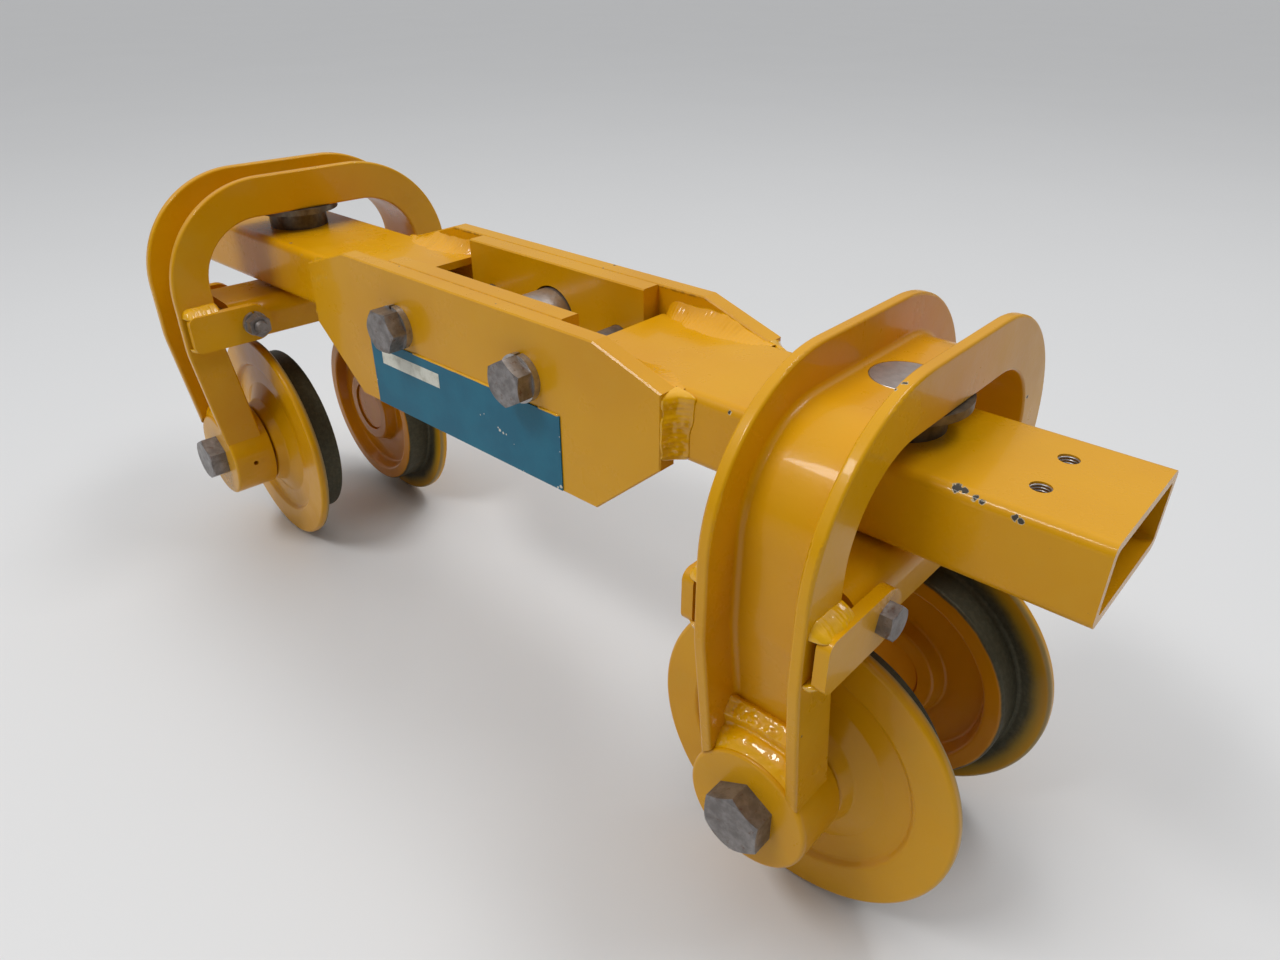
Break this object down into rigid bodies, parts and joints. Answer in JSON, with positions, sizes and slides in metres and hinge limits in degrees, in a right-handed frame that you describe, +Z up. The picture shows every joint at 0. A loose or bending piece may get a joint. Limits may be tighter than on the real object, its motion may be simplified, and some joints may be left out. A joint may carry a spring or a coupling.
{
  "type": "beam trolley",
  "caption": "Hoist trolley for patented track: a load bar with a bolted pin hanger between two swivelling U-shaped yokes, each carrying flanged wheels on through axles.",
  "frame": {"origin": "on the floor under the middle of the load bar, with the trolley standing on its wheels", "axes": "+X along the load bar towards the end with the two tapped holes, +Y across the track away from the nameplate, +Z up as it stands (in service the trolley hangs the other way up)"},
  "size_m": [0.702, 0.2202, 0.288],
  "materials": {
    "amber_paint": "gloss amber enamel",
    "wheel_paint": "amber enamel worn to dark steel on the treads",
    "cap_paint": "gloss amber enamel",
    "nameplate_blue": "blue enamelled plate",
    "bolt_steel": "dull zinc-grey steel, light rust",
    "pin_steel": "machined steel",
    "disc_steel": "dark greased steel",
    "bearing_steel": "ground bearing steel",
    "bronze": "bearing bronze"
  },
  "bodies": {
    "load_bar": {"left_beam_tube": "amber_paint", "right_beam_tube": "amber_paint", "front_side_plate": "amber_paint", "rear_side_plate": "amber_paint", "front_hanger_plate": "amber_paint", "rear_hanger_plate": "amber_paint", "nameplate": "nameplate_blue", "hanger_bolts": "bolt_steel", "hanger_bolt_nuts": "bolt_steel", "hanger_bolt_washers": "bolt_steel", "left_pivot_bush": "bronze", "right_pivot_bush": "bronze", "left_thrust_washer": "disc_steel", "right_thrust_washer": "disc_steel"},
    "load_pin": {"load_pin": "pin_steel"},
    "left_yoke": {"left_yoke_channel": "amber_paint", "left_axle_bosses": "amber_paint", "left_tie_lugs": "amber_paint", "left_tie_bar": "amber_paint", "left_tie_bolts": "bolt_steel", "left_tie_bolt_washers": "bolt_steel", "left_tie_bolt_nuts": "bolt_steel", "left_thrust_plate": "disc_steel", "left_king_pin": "pin_steel", "left_king_pin_nut": "bolt_steel", "left_king_pin_cotter": "bolt_steel", "left_axle_bolts": "bolt_steel", "left_axle_nuts": "bolt_steel", "left_bearing_inner_races": "bearing_steel", "left_axle_spacers": "bolt_steel"},
    "left_front_wheel": {"left_front_wheel": "wheel_paint", "left_front_wheel_bearings": "bearing_steel", "left_front_dust_cap": "cap_paint"},
    "left_rear_wheel": {"left_rear_wheel": "wheel_paint", "left_rear_wheel_bearings": "bearing_steel", "left_rear_dust_cap": "cap_paint"},
    "right_yoke": {"right_yoke_channel": "amber_paint", "right_axle_bosses": "amber_paint", "right_tie_lugs": "amber_paint", "right_tie_bar": "amber_paint", "right_tie_bolts": "bolt_steel", "right_tie_bolt_washers": "bolt_steel", "right_tie_bolt_nuts": "bolt_steel", "right_thrust_plate": "disc_steel", "right_king_pin": "pin_steel", "right_king_pin_nut": "bolt_steel", "right_king_pin_cotter": "bolt_steel", "right_axle_bolts": "bolt_steel", "right_axle_nuts": "bolt_steel", "right_bearing_inner_races": "bearing_steel", "right_axle_spacers": "bolt_steel"},
    "right_front_wheel": {"right_front_wheel": "wheel_paint", "right_front_wheel_bearings": "bearing_steel", "right_front_dust_cap": "cap_paint"},
    "right_rear_wheel": {"right_rear_wheel": "wheel_paint", "right_rear_wheel_bearings": "bearing_steel", "right_rear_dust_cap": "cap_paint"}
  },
  "joints": [
    {"name": "load_pin_turn", "type": "hinge", "parent": "load_bar", "child": "load_pin", "pos_m": [0, 0, 0.225], "axis": [0, 1, 0], "continuous": true},
    {"name": "left_yoke_swivel", "type": "hinge", "parent": "load_bar", "child": "left_yoke", "pos_m": [-0.248, 0, 0.257], "axis": [0, 0, 1], "range_deg": [-35, 45]},
    {"name": "right_yoke_swivel", "type": "hinge", "parent": "load_bar", "child": "right_yoke", "pos_m": [0.248, 0, 0.257], "axis": [0, 0, 1], "range_deg": [-40, 40]},
    {"name": "left_front_wheel_spin", "type": "hinge", "parent": "left_yoke", "child": "left_front_wheel", "pos_m": [-0.25218, -0.04782, 0.0825], "axis": [0.0872, 0.9962, 0], "continuous": true},
    {"name": "left_rear_wheel_spin", "type": "hinge", "parent": "left_yoke", "child": "left_rear_wheel", "pos_m": [-0.24382, 0.04782, 0.0825], "axis": [0.0872, 0.9962, 0], "continuous": true},
    {"name": "right_front_wheel_spin", "type": "hinge", "parent": "right_yoke", "child": "right_front_wheel", "pos_m": [0.248, -0.048, 0.0825], "axis": [0, 1, 0], "continuous": true},
    {"name": "right_rear_wheel_spin", "type": "hinge", "parent": "right_yoke", "child": "right_rear_wheel", "pos_m": [0.248, 0.048, 0.0825], "axis": [0, 1, 0], "continuous": true}
  ]
}
